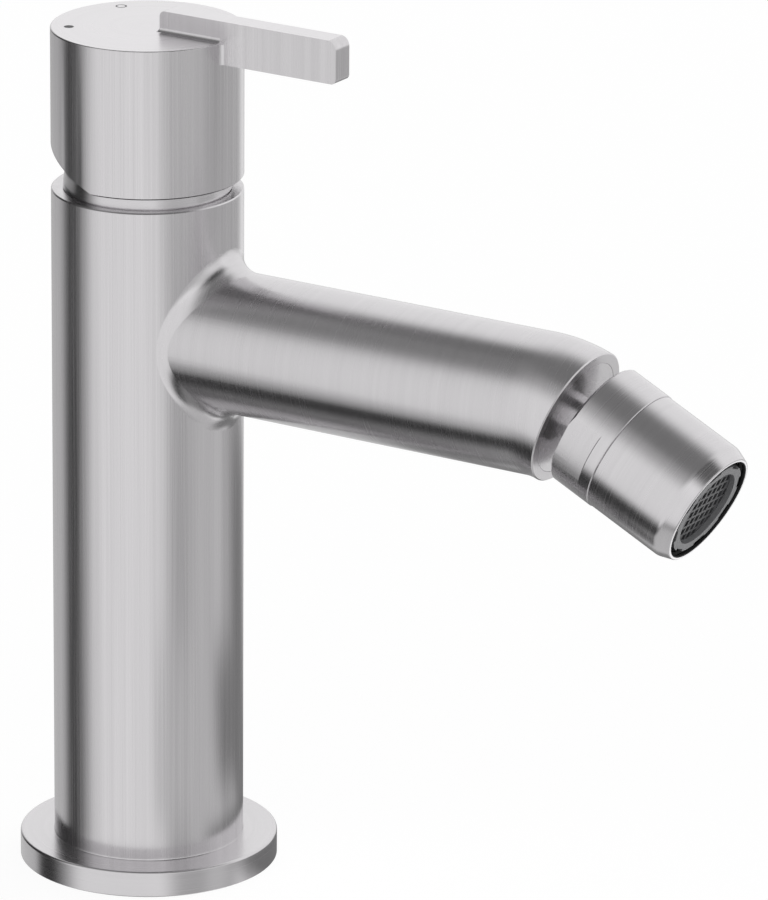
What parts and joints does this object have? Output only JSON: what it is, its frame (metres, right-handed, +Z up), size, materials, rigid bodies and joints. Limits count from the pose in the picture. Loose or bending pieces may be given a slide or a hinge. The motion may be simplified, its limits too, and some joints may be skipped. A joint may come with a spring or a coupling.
{
  "type": "bidet mixer",
  "caption": "Single-lever bidet mixer: round column on a base flange, straight spout with a swivelling aerated outlet, and a cap handle with a bar lever.",
  "frame": {"origin": "on the column's axis, in the plane of the base flange's underside that rests on the deck", "axes": "+Z up along the column, +X along the spout and the closed lever, +Y to the left seen along +X"},
  "size_m": [0.1635, 0.053, 0.1814],
  "materials": {
    "brushed_steel": "brushed stainless steel",
    "brass": "turned brass",
    "rubber": "moulded EPDM rubber",
    "pale_plastic": "moulded acetal",
    "grey_plastic": "moulded grey acetal",
    "dark_plastic": "moulded dark acetal",
    "ceramic": "lapped alumina ceramic"
  },
  "bodies": {
    "mixer": {"body": "brushed_steel", "base_flange": "brushed_steel", "base_seal": "rubber", "neck_ring": "brushed_steel", "cartridge_nut": "brass", "cartridge_housing": "pale_plastic", "cartridge_base": "pale_plastic", "inlet_seals": "rubber", "disc_seals": "rubber", "fixed_disc": "ceramic", "ball_stud": "brushed_steel", "stud_washer": "rubber"},
    "rotor": {"rotor": "pale_plastic", "pivot_pin": "brushed_steel", "rotor_seal": "rubber"},
    "lever": {"handle": "brushed_steel", "spindle": "brass", "grub_screw": "brushed_steel", "screw_plug": "brushed_steel"},
    "disc": {"disc_carrier": "pale_plastic", "moving_disc": "ceramic"},
    "outlet_pitch": {"rear_seat": "pale_plastic"},
    "outlet_yaw": {"front_seat": "pale_plastic"},
    "outlet": {"swivel_nut": "brushed_steel", "outlet_shell": "brushed_steel", "ball_seal": "rubber", "aerator_washer": "rubber", "aerator_screen": "brushed_steel", "aerator_distributor": "dark_plastic", "aerator_insert": "grey_plastic", "aerator_grid": "dark_plastic"}
  },
  "joints": [
    {"name": "lever_turn", "type": "hinge", "parent": "mixer", "child": "rotor", "pos_m": [0, 0, 0.14552], "axis": [0, 0, 1], "range_deg": [-45, 45]},
    {"name": "lever_lift", "type": "hinge", "parent": "rotor", "child": "lever", "pos_m": [0, 0, 0.14552], "axis": [0, -1, 0], "range_deg": [0, 22]},
    {"name": "disc_slide", "type": "slide", "parent": "rotor", "child": "disc", "axis": [1, 0, 0], "range_m": [0, 0.0027]},
    {"name": "outlet_tilt", "type": "hinge", "parent": "mixer", "child": "outlet_pitch", "pos_m": [0.11249, 0, 0.10878], "axis": [0, 1, 0], "range_deg": [-18, 7]},
    {"name": "outlet_swing", "type": "hinge", "parent": "outlet_pitch", "child": "outlet_yaw", "pos_m": [0.11249, 0, 0.10878], "axis": [0.4384, 0, 0.8988], "range_deg": [-10, 10]},
    {"name": "outlet_spin", "type": "hinge", "parent": "outlet_yaw", "child": "outlet", "pos_m": [0.11249, 0, 0.10878], "axis": [0.8988, 0, -0.4384], "continuous": true}
  ],
  "couplings": [
    {"joint": "disc_slide", "follows": "lever_lift", "m_per_rad": 0.007024}
  ]
}
